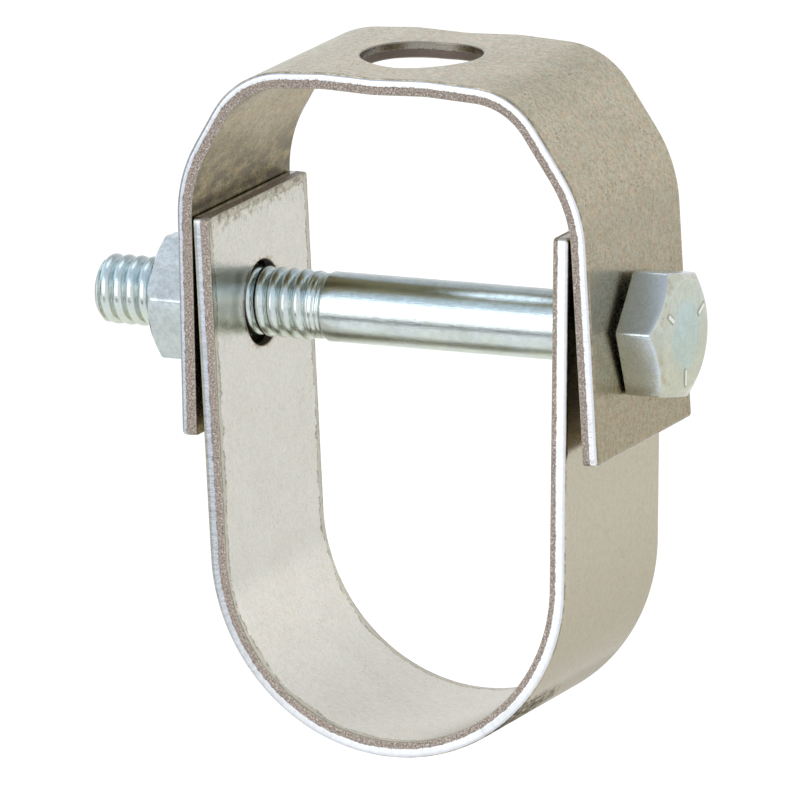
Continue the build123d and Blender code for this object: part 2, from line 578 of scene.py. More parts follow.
@dataclass(frozen=True)
class Hexagon:
    """A hexagon across the bolt's axis with worn corners and bevelled faces."""

    turn: float  # how far one corner points above -Y, in degrees
    sharpness: float  # of the corners; higher is sharper
    circle_share: float  # the bevelled face's circle, as a share of the width across flats
    across_flats: float = 11.11
    slope: float = 30.0  # of the bevel, in degrees
    crowd: float = 0.6  # from 0, angles in equal steps, to just under 1, angles crowded at the corners

    def radius(self, turn: Array) -> Array:
        """Distance from the axis to the hexagon's side.

        Half the width across flats over the soft largest of the six cosines of the angles to the flats,
        which is their sum at a high power, with that power taken off again.

        Args:
            turn: angles about the axis, in radians.

        Returns:
            The distances.
        """
        flats = np.radians(180 - self.turn + 30 + 60 * np.arange(6))
        facing = np.cos(turn[..., None] - flats).clip(0)
        return self.across_flats / 2 / (facing**self.sharpness).sum(axis=-1) ** (1 / self.sharpness)

    def angles(self, count: int) -> Array:
        """Angles round the axis: equal steps less a share of their own sixth-turn sine, so corners draw them."""
        equal = np.arange(count) / count * 2 * pi
        return radians(180 - self.turn) + equal - self.crowd * np.sin(6 * equal) / 6

    def bevel(self, turn: Array) -> tuple[Array, float, Array]:
        """The side's distance at each angle, the face's circle and how far the bevel falls between them."""
        side, circle = self.radius(turn), self.across_flats / 2 * self.circle_share
        return side, circle, (side - circle) * tan(radians(self.slope))


def rounded_rows(
    turn: Array, corners: list[tuple], radii: tuple[float, ...], steps: tuple[int, ...], soft: int = 5
) -> Array:
    """Rounds the inner corners of a profile, at every angle about the axis at once.

    Each corner c is replaced by a curve that leaves the incoming run at a, a radius before it, is
    pulled towards it, and joins the outgoing run at b, a radius after it: (1 - t)^2 a + 2 t (1 - t) c +
    t^2 b. The runs between them are cut into equal steps.

    Args:
        turn: angles about the axis.
        corners: pairs of a radius and an x, each one number or one for each angle, with both ends.
        radii: one for each corner; the first and last aren't used.
        steps: how many each run has.
        soft: steps round each corner.

    Returns:
        Radii and places, rows x angles x 2.
    """
    at = np.stack([np.stack(np.broadcast_arrays(*pair, turn)[:2], axis=-1) for pair in corners])
    size = np.array(radii)[1:-1, None, None]
    runs = np.diff(at, axis=0)
    unit = runs / np.linalg.norm(runs, axis=-1, keepdims=True).clip(1e-9)
    before, after = at[1:-1] - unit[:-1] * size, at[1:-1] + unit[1:] * size
    begins, ends = np.concatenate([at[:1], after]), np.concatenate([before, at[-1:]])
    t = np.linspace(0, 1, soft + 1)[1:-1, None, None]
    rows = []
    for number, count in enumerate(steps):
        share = np.linspace(0, 1, count + 1)[:, None, None]
        rows.append(begins[number] + (ends[number] - begins[number]) * share)
        if number < len(steps) - 1:
            rows.append((1 - t) ** 2 * before[number] + 2 * t * (1 - t) * at[number + 1] + t**2 * after[number])
    return np.concatenate(rows)


def about_axis(radius: Array, x: Array, turn: Array, axis_z: float) -> Array:
    """Points at a radius and an angle about the bolt's axis: y is r cos, z is r sin above the axis."""
    radius, x, turn = np.broadcast_arrays(radius, x, turn)
    return np.stack([x, radius * np.cos(turn), axis_z + radius * np.sin(turn)], axis=-1)


@dataclass(frozen=True)
class Dashes:
    """Plain raised dashes on the head's face, each along a radius."""

    count: int = 3
    turn: float = 26.0  # the first one's angle above +Y, in degrees
    inner: float = 3.3  # where they begin, from the axis
    outer: float = 4.4  # and end
    width: float = 0.5
    height: float = 0.13

    def lift(self, radius: Array, turn: Array) -> Array:
        """Their share of their height, which falls off with the distance beside and beyond a dash's line.

        Args:
            radius: distances from the axis, rows x angles.
            turn: angles about the axis.

        Returns:
            Shares, rows x angles.
        """
        step = 2 * pi / self.count
        off = (turn - radians(self.turn) + step / 2) % step - step / 2
        beside = np.abs(radius * np.sin(off)) / (self.width / 2)
        middle, half = (self.inner + self.outer) / 2, (self.outer - self.inner) / 2
        beyond = (np.abs(radius * np.cos(off) - middle) - half).clip(0) / (self.width / 2)
        return np.exp(-((beside**2 + beyond**2) ** 2))


@dataclass
class Bolt:
    """Hex head, plain shank, shoulder and rolled thread in one skin."""

    axis_z: float  # height of the bolt's axis
    top: float  # x of the head's face
    tip: float  # x of the threaded end
    hexagon: Hexagon
    thread: Thread
    dashes: Dashes = Dashes()
    radius: float = 3.175  # of the plain shank
    head_height: float = 4.15
    shank_length: float = 30.35  # plain, from under the head
    shoulder: float = 0.35  # length of the taper down to the blank that the thread is rolled on
    blank: float = 2.925  # radius of that blank
    rings: int = 3  # fine rings that the rolling left beside the shoulder
    ring_step: float = 0.46  # from one ring to the next
    ring_height: float = 0.05
    point: float = 0.55  # bevel at the tip
    fade: float = 1.6  # pitches over which the thread comes up
    around: int = 192  # points round the axis
    softness: tuple[float, ...] = (0, 0.22, 0.1, 0.3, 0)  # rounding of the head's corners, from its middle
    steps: tuple[int, ...] = (30, 4, 10, 6)  # rows of points on each run between them
    face_fade: float = 0.06  # how far below the head's face its mark fades

    def head_rows(self, turn: Array) -> tuple[Array, Array]:
        """Radius and x of the head's skin, from the middle of its face to the shank.

        The profile at each angle goes from the axis to the bevelled face's circle, down the cone to the
        hexagon's side, along the side to the underside and in to the shank.

        Args:
            turn: angles about the axis.

        Returns:
            Radii and places, rows x angles.
        """
        side, circle, fall = self.hexagon.bevel(turn)
        under = self.top - self.head_height
        corners = [(0, self.top), (circle, self.top), (side, self.top - fall), (side, under), (self.radius, under)]
        rows = rounded_rows(turn, corners, self.softness, self.steps)
        raised = self.dashes.height * self.dashes.lift(rows[..., 0], turn) * (rows[..., 1] > self.top - HAIR)
        return rows[..., 0], rows[..., 1] + raised

    def body_rows(self, turn: Array) -> tuple[Array, Array]:
        """Radius and x of the shank, the shoulder, the thread and the tip.

        The thread is faded in from the blank over the first turns, with the rings as raised cosines
        there, and is never outside the bevel of the tip.

        Args:
            turn: angles about the axis.

        Returns:
            Radii and places, rows x angles.
        """
        under = self.top - self.head_height
        shank_end = under - self.shank_length
        blank_start = shank_end - self.shoulder
        plain_x = np.linspace(under, shank_end, 25)[1:, None] + 0 * turn
        step = np.linspace(0, 1, 9)[1:, None] + 0 * turn
        x, angle = (grid[1:] for grid in self.thread.grid(blank_start, self.tip, turn))
        fade = eased((blank_start - x) / (self.fade * self.thread.pitch))
        past = (blank_start - x) / self.ring_step
        ring = self.ring_height * (0.5 - 0.5 * np.cos(2 * pi * past)) * (past < self.rings)
        radius = self.blank + (self.thread.surface(angle, x) - self.blank) * fade + ring
        radius = np.minimum(radius, self.thread.crest - self.point + (x - self.tip))
        shoulder_r = self.radius + (self.blank - self.radius) * eased(step)
        rows_r = [0 * plain_x + self.radius, shoulder_r, radius, radius[-1] * (1 - step)]
        rows_x = [plain_x, shank_end - self.shoulder * step, x, 0 * step + self.tip]
        return np.concatenate(rows_r), np.concatenate(rows_x)

    def marks(self, radius: Array, x: Array, turn: Array, head: Array) -> dict[str, Array]:
        """Values kept at each point for the finishes.

        "face" is 1 on the head's flat face, "bevel" is 1 on the bevel round it, "dash" is 1 on the top
        of a dash, and "groove" is the thread's depth share below its crests.

        Args:
            radius: distances from the axis, rows x angles.
            x: places along the axis, rows x angles.
            turn: angles about the axis.
            head: which of the rows are the head's.

        Returns:
            The values by name.
        """
        face = ((x - self.top + self.face_fade) / self.face_fade).clip(0, 1)
        inside = ((self.hexagon.radius(turn) - radius) / (2 * self.face_fade)).clip(0, 1)
        threaded = (x < self.top - self.head_height - self.shank_length - self.shoulder) & (x > self.tip + HAIR)
        return {
            "face": face * head,
            "bevel": inside * (1 - face) * (x > self.top - self.head_height / 2) * head,
            "dash": self.dashes.lift(radius, turn) * (face > 0) * head,
            "groove": ((self.thread.crest - radius) / self.thread.depth).clip(0, 1) * threaded * ~head,
        }

    def build(self, head_finish: bpy.types.Material, shank_finish: bpy.types.Material) -> bpy.types.Object:
        """Makes the bolt.

        Args:
            head_finish: the head's material.
            shank_finish: the shank's and thread's.

        Returns:
            The bolt's object.
        """
        turn = self.hexagon.angles(self.around)
        head_r, head_x = self.head_rows(turn)
        body_r, body_x = self.body_rows(turn)
        radius, x = np.concatenate([head_r, body_r]), np.concatenate([head_x, body_x])
        head = (np.arange(len(radius)) < len(head_r))[:, None]
        skin = Surface()
        points = about_axis(radius, x, turn, self.axis_z)
        skin.add_grid(points, self.marks(radius, x, turn, head), ring=True, kind=(~head[1:]).astype(int))
        return skin.piece("hex_bolt", head_finish, shank_finish)


@dataclass
class Nut:
    """Hex nut with both faces bevelled and a thread that follows the bolt's."""

    axis_z: float  # height of the bolt's axis
    left: float  # x of its outer face
    right: float  # x of the face against the yoke
    hexagon: Hexagon
    thread: Thread
    gap: float = 0.05  # between the two threads
    mouth: float = 0.45  # bevel at each end of the bore
    around: int = 144  # points round the axis
    softness: tuple[float, ...] = (0, 0.3, 0.22, 0.22, 0.3, 0)  # rounding of the outside's corners
    steps: tuple[int, ...] = (5, 3, 12, 3, 5)  # rows of points on each run between them

    def build(self, finish: bpy.types.Material) -> bpy.types.Object:
        """Makes the nut: the bore from right to left, then the outside from left to right.

        Args:
            finish: its material.

        Returns:
            The nut's object.
        """
        turn = self.hexagon.angles(self.around)
        side, circle, fall = self.hexagon.bevel(turn)
        left, right, wide = self.left, self.right, self.thread.crest + self.gap + self.mouth
        corners = [(wide, left), (circle, left), (side, left + fall)]
        corners += [(side, right - fall), (circle, right), (wide, right)]
        outside = rounded_rows(turn, corners, self.softness, self.steps)
        x, angle = self.thread.grid(right, left, turn)
        bore = np.maximum(self.thread.surface(angle, x) + self.gap, wide - np.minimum(right - x, x - left))
        radius, x = np.concatenate([bore, outside[1:, :, 0]]), np.concatenate([x, outside[1:, :, 1]])
        skin = Surface()
        skin.add_grid(about_axis(radius, x, turn, self.axis_z), {}, ring=True)
        return skin.piece("hex_nut", finish)


# ---------------------------------------------------------------- shader trees


@dataclass(frozen=True)
class Value:
    """A number in a shader tree. Each sum on it places a node."""

    tree: "Tree"
    socket: Socket

    def __add__(self, other: object) -> "Value":
        """The sum of two."""
        return self.tree.math("ADD", self, other)

    def __sub__(self, other: object) -> "Value":
        """This less the other."""
        return self.tree.math("SUBTRACT", self, other)

    def __rsub__(self, other: object) -> "Value":
        """The other less this."""
        return self.tree.math("SUBTRACT", other, self)

    def __mul__(self, other: object) -> "Value":
        """The product of two."""
        return self.tree.math("MULTIPLY", self, other)

    def __abs__(self) -> "Value":
        """Its size without its sign."""
        return self.tree.math("ABSOLUTE", self)

    def span(self, low: float, high: float, to_low: float = 0.0, to_high: float = 1.0) -> "Value":
        """It moved from one span to another, softly and kept inside it."""
        feeds = {"Value": self, "From Min": low, "From Max": high, "To Min": to_low, "To Max": to_high}
        return Value(self.tree, self.tree.put("MapRange", feeds, interpolation_type="SMOOTHSTEP").outputs[0])


class Tree:
    """A short way to place and join nodes in one shader tree."""

    def __init__(self, tree: bpy.types.NodeTree) -> None:
        """Takes the tree to build in, and empties it."""
        self.tree = tree
        tree.nodes.clear()

    def put(self, kind: str, feeds: dict[str | int, object] | None = None, **settings: object) -> bpy.types.Node:
        """Places a node.

        Args:
            kind: the node's type, without "ShaderNode".
            feeds: numbers, colours, values or sockets for its inputs, by name or number.
            settings: the node's own settings.

        Returns:
            The node.
        """
        node = self.tree.nodes.new(kind if kind.startswith("Node") else "ShaderNode" + kind)
        for name, value in settings.items():
            setattr(node, name, value)
        for name, value in (feeds or {}).items():
            value = value.socket if isinstance(value, Value) else value
            if isinstance(value, Socket):
                self.tree.links.new(value, node.inputs[name])
            else:
                node.inputs[name].default_value = (*value, 1.0) if node.inputs[name].type == "RGBA" else value
        return node

    def math(self, operation: str, a: object, b: object = 0.0, clamp: bool = False) -> Value:
        """The result of one sum on numbers."""
        return Value(self, self.put("Math", {0: a, 1: b}, operation=operation, use_clamp=clamp).outputs[0])

    def mix(self, share: object, a: object, b: object, blend: str = "MIX") -> Socket:
        """Two colours mixed by a share of the second."""
        return self.put("Mix", {0: share, 6: a, 7: b}, data_type="RGBA", blend_type=blend).outputs[2]

    def tint(self, share: object, colour: object, by: object) -> Socket:
        """A colour multiplied by another, as far as a share says."""
        return self.mix(share, colour, by, "MULTIPLY")

    def clouds(self, place: Socket, fineness: object, detail: float = 2.0, rough: float = 0.5) -> Value:
        """Cloudy noise, from 0 to 1, of a fineness in lumps a metre, with finer layers of some strength."""
        feeds = {"Vector": place, "Scale": fineness, "Detail": detail, "Roughness": rough}
        return Value(self, self.put("TexNoise", feeds).outputs[0])

    def noise(self, place: Socket, size: float, detail: float, rough: float) -> Value:
        """The same, with lumps of about a size in millimetres."""
        return self.clouds(place, 1 / (size * MM), detail, rough)

    def place(self) -> Socket:
        """The place on the object, in metres."""
        return self.put("TexCoord").outputs["Object"]

    def parts(self, place: Socket) -> list[Value]:
        """The x, y and z of a place."""
        return [Value(self, part) for part in self.put("SeparateXYZ", {0: place}).outputs]

    def stretched(self, place: Socket, scale: Colour) -> Socket:
        """A place with its x, y and z multiplied."""
        return self.put("Mapping", {"Vector": place, "Scale": scale}).outputs[0]

    def mark(self, name: str) -> Value:
        """A value kept at each point of the mesh."""
        return Value(self, self.put("Attribute", attribute_name=name).outputs["Fac"])

    def surface(self, shader: bpy.types.Node) -> None:
        """Ends the tree with a shader for the surface."""
        self.put("OutputMaterial", {"Surface": shader.outputs[0]})


def new_material(name: str) -> tuple[bpy.types.Material, Tree]:
    """Makes an empty material.

    Args:
        name: its name.

    Returns:
        The material and its tree.
    """
    made = bpy.data.materials.new(name)
    made.use_nodes = True
    return made, Tree(made.node_tree)


def effect(*numbers: str) -> Callable:
    """Turns a function of a tree, a place and named numbers into a shader node group that is built once.

    Args:
        numbers: the names of the group's inputs after its place.

    Returns:
        What wraps the function: called with a material's tree, a place and values for the numbers, the
        wrapped one places the group there and gives its results by name.
    """

    def wrap(fill: Callable) -> Callable:
        """Wraps the function that fills the group.

        Args:
            fill: the function, whose name the group takes.

        Returns:
            The wrapped function.
        """

        @cache
        def group() -> bpy.types.NodeTree:
            """Builds the group on its first use.

            Returns:
                The group.
            """
            made = bpy.data.node_groups.new(fill.__name__, "ShaderNodeTree")
            made.interface.new_socket(name="Place", in_out="INPUT", socket_type="NodeSocketVector")
            for name in numbers:
                made.interface.new_socket(name=name, in_out="INPUT", socket_type="NodeSocketFloat")
            tree = Tree(made)
            given = tree.put("NodeGroupInput").outputs
            results = fill(tree, given["Place"], *(Value(tree, given[name]) for name in numbers))
            for name in results:
                made.interface.new_socket(name=name, in_out="OUTPUT", socket_type="NodeSocketFloat")
            tree.put("NodeGroupOutput", results)
            return made

        def placed(tree: Tree, place: Socket, *values: object) -> dict[str, Value]:
            """Places the group in a material's tree."""
            node = tree.put("Group", dict(zip(("Place", *numbers), (place, *values))), node_tree=group())
            return {name: Value(tree, socket) for name, socket in node.outputs.items()}

        return placed

    return wrap


@effect("Fineness")
def plating_speckle(tree: Tree, place: Socket, fineness: Value) -> dict[str, Value]:
    """Fine plating speckle: a sharp small noise and a softer one, as a mask and as a height."""
    both = tree.clouds(place, fineness, 3.0, 0.6) * 0.6 + tree.clouds(place, fineness * 0.42) * 0.4
    return {"Mask": both.span(0.4, 0.62), "Height": both}


@effect("Fineness")
def clouding(tree: Tree, place: Socket, fineness: Value) -> dict[str, Value]:
    """Broad uneven tone: a broad noise and one a fifth of its size, spread to the full range."""
    both = tree.clouds(place, fineness) * 0.55 + tree.clouds(place, fineness * 5.0, 3.0, 0.6) * 0.45
    return {"Mask": both.span(0.36, 0.64)}


@effect("Fineness", "Level")
def specks(tree: Tree, place: Socket, fineness: Value, level: Value) -> dict[str, Value]:
    """Scattered small specks: a sharp noise, patchy by a broader one, cut off below a level."""
    dots = tree.clouds(place, fineness, 1.0) + (tree.clouds(place, fineness * 0.09) - 0.5) * 0.5
    return {"Mask": (dots - level).span(0.0, 0.06)}


@effect("Through", "Edge", "Roll", "Land", "Ragged")
def sheared_edge(
    tree: Tree, place: Socket, through: Value, edge: Value, roll: Value, land: Value, ragged: Value
) -> dict[str, Value]:
    """A sheared edge's bands: the depth, made ragged by noise, is compared with each band's end.

    Args:
        tree: the group's tree.
        place: where its noises are read.
        through: the depth's share of the thickness.
        edge: distance to the nearest edge; the bands show only where it is small.
        roll: the depth's share at which the rolled edge ends.
        land: the depth's share at which the smooth land ends and the broken part begins.
        ragged: how uneven those ends are.

    Returns:
        A mask for each band and for the lip, the nicks between land and broken part, and a height.
    """
    depth = through + (tree.noise(place, 0.35, 4.0, 0.7) - 0.5) * ragged
    past = depth - land
    broken, wall = past.span(-0.02, 0.03), edge.span(0.16, 0.08)
    nicks = abs(past).span(0.07, 0.01) * tree.noise(place, 0.6, 3.0, 0.7).span(0.5, 0.62)
    return {
        "Broken": broken * wall,
        "Land": (1 - broken) * wall,
        "Lip": wall * through.span(0.9, 0.97),
        "Roll": (depth - roll).span(0.03, -0.03) * wall,
        "Nick": nicks * wall,
        "Height": tree.noise(place, 0.16, 3.0, 0.7) * broken * wall,
    }


@effect("Edge", "Reach")
def handled_border(tree: Tree, place: Socket, edge: Value, reach: Value) -> dict[str, Value]:
    """The border beside an edge: the distance, made uneven by two noises, is compared with its reach.

    Args:
        tree: the group's tree.
        place: where its noises are read.
        edge: distance to the nearest edge.
        reach: how wide the border is.

    Returns:
        Masks for its stain, for the broken line where it ends and for the dark rim at the edge.
    """
    fine = tree.noise(place, 0.4, 3.0, 0.65) - 0.5
    past = edge + (tree.noise(place, 2.6, 3.0, 0.6) - 0.5) * 1.5 + fine * 0.9 - reach
    patches = tree.noise(place, 1.1, 3.0, 0.6).span(0.42, 0.55)
    line, rim = abs(past).span(0.16, 0.03), (edge + fine * 0.3).span(0.32, 0.2)
    return {"Stain": past.span(0.12, -0.12), "Line": line * patches, "Rim": rim * patches}


# ---------------------------------------------------------------- finishes


class StripMarks:
    """What a strip's material reads from its mesh."""

    def __init__(self, tree: Tree) -> None:
        """Reads distances in millimetres, and places along, across and through the flat strip in metres.

        Args:
            tree: the material's tree.
        """
        strip = tree.put("Attribute", attribute_name="strip").outputs["Vector"]
        self.tree = tree
        self.through, self.edge, self.end, self.bore = map(tree.mark, ("through", "edge", "end", "bore"))
        self.along, self.across, _ = tree.parts(strip)
        self.flat = tree.stretched(strip, (MM, MM, MM))
        self.wide = tree.stretched(strip, (MM, 0.5 * MM, MM))
        self.lines = tree.noise(tree.stretched(strip, (MM, 0.12 * MM, 0.12 * MM)), 0.35, 3.0, 0.6)
        self.inner = self.through.span(0.45, 0.55)
        self.speckle, self.grit = plating_speckle(tree, tree.place(), 4600.0).values()


@dataclass(frozen=True)
class StripFinish:
    """Zinc plated strip: satin faces, rolled bright edges and rough sheared ones."""

    name: str
    pale: Colour  # the outer face's paler tone
    deep: Colour  # and its deeper tone
    inner_pale: Colour  # the inner face's paler tone
    inner_deep: Colour  # and its deeper tone
    far_shade_tone: Colour  # painted shade: the outer face's tone towards the strip's second end, on the head-side leg
    darkens: tuple[float, float] = (20.0, 100.0)  # where along the strip that painted shade begins and is reached
    belly: tuple[float, ...] = (0.0, 1.0, 2.0, 3.0)  # where a shaded stretch begins, is full, eases and ends
    belly_tint: Colour = WHITE  # what multiplies the outer face's tone there
    warm: Colour = (0.48, 0.45, 0.35)  # the tone of the handled border
    grime: Colour = (0.13, 0.11, 0.075)  # the tone of dark marks and lines
    rust: Colour = (0.44, 0.30, 0.17)  # the tone of the faint halo round the holes
    roughness: float = 0.3  # of the faces
    turned_dull: float = 0.0  # how much rougher the bright band is past the place where the edge turns
    grazing: Colour = (0.93, 0.93, 0.92)  # what multiplies the reflections of faces seen nearly edge on
    speckle: float = 0.5  # how strong the fine speckle is
    pepper: float = 0.5  # how strong the scattered dark specks are
    border: float = 0.8  # width of the inner face's handled border
    inner_dark_span: tuple[float, float] = (20.3, 25.5)  # how far from the ends a darker mottled patch on the inner face begins and ends
    inner_dark_strength: float = 0.0
    end_stain: float = 0.0  # how strong the streaks below the strip's ends are on the inner face
    rub: tuple[float, float] = (0.0, 0.0)  # the middle of the rubbed dark mark on the outer face, along and across
    rub_reach: tuple[float, float] = (3.6, 10.0)  # how far it reaches along and across
    rub_strength: float = 0.0
    rub_veil: float = 0.0  # how strong the faint dulling is right across the strip beside it
    roll_near: Colour = (0.42, 0.43, 0.38)  # the rolled edge's tone at the strip's first end
    roll_far: Colour = (0.80, 0.83, 0.90)  # the same at its second end, brighter as a painted highlight
    roll_share: float = 0.2  # the depth's share at which the rolled edge ends
    land_near: Colour = (0.58, 0.62, 0.70)  # the smooth land's tone at the strip's first end
    land_far: Colour = (0.95, 0.97, 1.0)  # the same at its second end, near white as a painted highlight
    broken: Colour = (0.19, 0.15, 0.125)  # the deeper tone of the sheared edge's broken part
    torn: Colour = (0.43, 0.37, 0.33)  # its paler tone
    grain: Colour = (0.86, 0.80, 0.76)  # the tone of its bright grains
    land: float = 0.36  # the depth's share at which it begins, at the strip's first end
    land_growth: float = 0.0014  # how much that grows in each millimetre along the strip
    turned: tuple[float, float] = (20.0, 60.0)  # where along the strip the edge's tones change, rising to the painted highlight
    ragged: float = 0.16  # how uneven the edge's bands are

    def faces(self, at: StripMarks) -> Socket:
        """The tone of the two broad faces.

        Args:
            at: what the mesh says.

        Returns:
            The colour.
        """
        tree, patches = at.tree, clouding(at.tree, at.flat, 190.0)["Mask"]
        outer = tree.mix(patches, self.deep, self.pale)
        # Painted shade: the outer face darkens along the strip towards the head-side leg at its second end.
        outer = tree.mix(at.along.span(*self.darkens), outer, self.far_shade_tone)
        start, full, easing, end = self.belly
        outer = tree.tint(at.along.span(start, full) * at.along.span(end, easing), outer, self.belly_tint)
        tone = tree.mix(at.inner, outer, tree.mix(patches, self.inner_deep, self.inner_pale))
        hue = tree.noise(at.wide, 0.8, 3.0, 0.65).span(0.38, 0.62)
        tone = tree.tint(hue * self.speckle, tone, (1.05, 0.98, 0.89))
        tone = tree.tint((1 - hue) * self.speckle, tone, (0.93, 1.0, 0.98))
        tone = tree.tint(at.speckle * self.speckle, tone, (0.66, 0.63, 0.55))
        return tree.mix(specks(tree, at.wide, 4800.0, 0.665)["Mask"] * self.pepper, tone, self.grime)

    def handled(self, at: StripMarks, tone: Socket, rubbed: Value) -> Socket:
        """Adds the border, the stains below the ends, the halo round the holes and the rubbed mark.

        Args:
            at: what the mesh says.
            tone: the faces' tone.
            rubbed: the rubbed mark's share.

        Returns:
            The colour.
        """
        tree = at.tree
        border = handled_border(tree, at.flat, at.edge, self.border)
        tone = tree.mix(border["Stain"] * at.inner * 0.62, tone, self.warm)
        tone = tree.mix(border["Line"] * at.inner * 0.6, tone, self.grime)
        tone = tree.mix(border["Rim"] * 0.5, tone, self.grime)
        streaks = tree.noise(tree.stretched(at.flat, (0.9, 0.8, 1.0)), 0.7, 5.0, 0.7)
        streaks = streaks + at.end.span(3.2, 0.0, -0.14, 0.14)
        near_end = at.end.span(3.4, 2.2) * at.inner * (0.8 * self.end_stain)
        tone = tree.mix(streaks.span(0.47, 0.66) * near_end, tone, self.warm)
        tone = tree.mix(streaks.span(0.60, 0.76) * near_end, tone, self.grime)
        # A darker mottled patch on the inner face, at a set distance from the ends.
        smudge = tree.noise(at.wide, 1.2, 5.0, 0.7).span(0.38, 0.6, 0.15, 1.0)
        risen = at.end.span(self.inner_dark_span[1], self.inner_dark_span[0]) * smudge * at.inner
        tone = tree.mix(risen * self.inner_dark_strength, tone, self.grime)
        dots = tree.noise(at.flat, 0.45, 3.0, 0.6).span(0.48, 0.6)
        tone = tree.mix(dots * at.bore.span(0.75, 0.05) * at.inner * 0.75, tone, self.rust)
        return tree.mix(rubbed, tone, self.grime)

    def rubbed(self, at: StripMarks) -> Value:
        """The share of the dull dark mark where the outer face has rubbed: an ellipse broken up by noise.

        Args:
            at: what the mesh says.

        Returns:
            The share.
        """
        along = (at.along - self.rub[0]) * (1 / self.rub_reach[0])
        across = (at.across - self.rub[1]) * (1 / self.rub_reach[1])
        away = along * along + across * across
        patches = (at.tree.noise(at.flat, 0.7, 4.0, 0.7) - away * 0.12).span(0.36, 0.52)
        mark = away.span(1.0, 0.2) * patches * self.rub_strength
        veil = (along * along).span(1.0, 0.1) * self.rub_veil
        return at.tree.math("MAXIMUM", mark, veil) * (1 - at.inner)

    def edges(self, at: StripMarks, shear: dict[str, Value], tone: Socket) -> Socket:
        """Adds the sheared edges' bands, with a painted highlight that grows along the strip and fine lines across
        them, and the darker walls of the holes.

        Args:
            at: what the mesh says.
            shear: the sheared edge's masks.
            tone: the faces' tone.

        Returns:
            The colour.
        """
        tree, change = at.tree, at.along.span(*self.turned)
        # Painted highlight: the land and the rolled edge brighten from their first-end tones to their far ones
        # along the strip.
        land = tree.mix(change, self.land_near, self.land_far)
        band = tree.mix(shear["Roll"], land, tree.mix(change, self.roll_near, self.roll_far))
        band = tree.tint(at.lines.span(0.42, 0.64) * (0.32 - change * 0.2), band, (0.6, 0.6, 0.58))
        bored = at.bore.span(0.3, 0.2)
        tone = tree.mix(shear["Land"], tone, tree.mix(bored, band, (0.33, 0.31, 0.27)))
        grains, solid = tree.noise(at.flat, 0.17, 4.0, 0.75), 1 - bored
        broken = tree.mix(grains.span(0.38, 0.56) * solid, self.broken, self.torn)
        broken = tree.mix(grains.span(0.57, 0.64) * solid, broken, self.grain)
        tone = tree.mix(shear["Broken"], tone, broken)
        tone = tree.mix(shear["Nick"] * 0.7, tone, self.grime)
        return tree.mix(shear["Lip"] * 0.55, tone, self.warm)

    def material(self) -> bpy.types.Material:
        """Builds the material.

        Returns:
            The material.
        """
        made, tree = new_material(self.name)
        at = StripMarks(tree)
        rubbed, edge = self.rubbed(at), tree.math("MINIMUM", at.edge, at.bore)
        land = at.along * self.land_growth + self.land
        shear = sheared_edge(tree, at.flat, at.through, edge, self.roll_share, land, self.ragged)
        dull = shear["Broken"] * 0.3 + rubbed + shear["Land"] * at.along.span(*self.turned) * self.turned_dull
        height = at.grit * 0.7 + shear["Land"] * at.lines * 0.3 + shear["Height"] * 2.2
        feeds = {
            "Base Color": self.edges(at, shear, self.handled(at, self.faces(at), rubbed)),
            "Roughness": tree.math("ADD", at.speckle * 0.08 + (self.roughness - 0.04), dull, clamp=True),
            "Metallic": tree.math("SUBTRACT", 1 - shear["Broken"] * 0.45, rubbed, clamp=True),
            "Specular Tint": self.grazing,
            "Specular IOR Level": 0.5 - rubbed * 0.5,
            "Normal": tree.put("Bump", {"Strength": 0.6, "Distance": 0.03 * MM, "Height": height}).outputs[0],
        }
        tree.surface(tree.put("BsdfPrincipled", feeds))
        return made


@dataclass(frozen=True)
class ZincFinish:
    """Clear passivated zinc on a bolt or nut, with a painted reflection: its tint drifts from blue above to straw
    green below.
    """

    name: str
    axis_z: float  # height of the bolt's axis
    blue: Colour  # the tint above the axis, a painted reflection of the surroundings above
    straw: Colour  # the tint below the axis, a painted reflection of the surroundings below
    dull: Colour  # the tone of its duller patches
    roughness: float = 0.25
    etch: float = 0.01  # depth of its etched wrinkles
    etch_size: float = 0.3  # their size
    drawn: float = 0.0  # strength of the fine lines along the axis
    tide: float = 0.0  # height above the axis at which the painted reflection's two tints meet
    mottle: float = 0.25  # strength of the fine mottling

    def worked(self, tree: Tree, tone: Socket, level: Value) -> Socket:
        """Adds what only this piece's form calls for; the nut has nothing of the kind."""
        return tone

    def material(self) -> bpy.types.Material:
        """Builds the material.

        Returns:
            The material.
        """
        made, tree = new_material(self.name)
        place = tree.place()
        level = tree.parts(place)[2] - self.axis_z * MM
        above = level + (tree.noise(place, 3.0, 3.0, 0.6) - 0.5) * (5 * MM)
        # Painted reflection: blue above the axis, straw green below.
        tone = tree.mix(above.span((self.tide - 1.8) * MM, (self.tide + 1.8) * MM), self.straw, self.blue)
        speckle, wrinkles = plating_speckle(tree, place, 1 / (self.etch_size * MM)).values()
        tone = tree.mix(clouding(tree, place, 300.0)["Mask"] * 0.4, tone, self.dull)
        tone = tree.mix(speckle * self.mottle, tone, self.dull)
        tone = self.worked(tree, tone, level)
        lines = tree.noise(tree.stretched(place, (0.12, 1.0, 1.0)), 0.11, 3.0, 0.65)
        relief = {"Strength": 0.6, "Distance": self.etch * MM, "Height": wrinkles + lines * self.drawn}
        feeds = {"Base Color": tone, "Roughness": speckle * 0.08 + (self.roughness - 0.04), "Metallic": 1.0}
        tree.surface(tree.put("BsdfPrincipled", feeds | {"Normal": tree.put("Bump", relief).outputs[0]}))
        return made


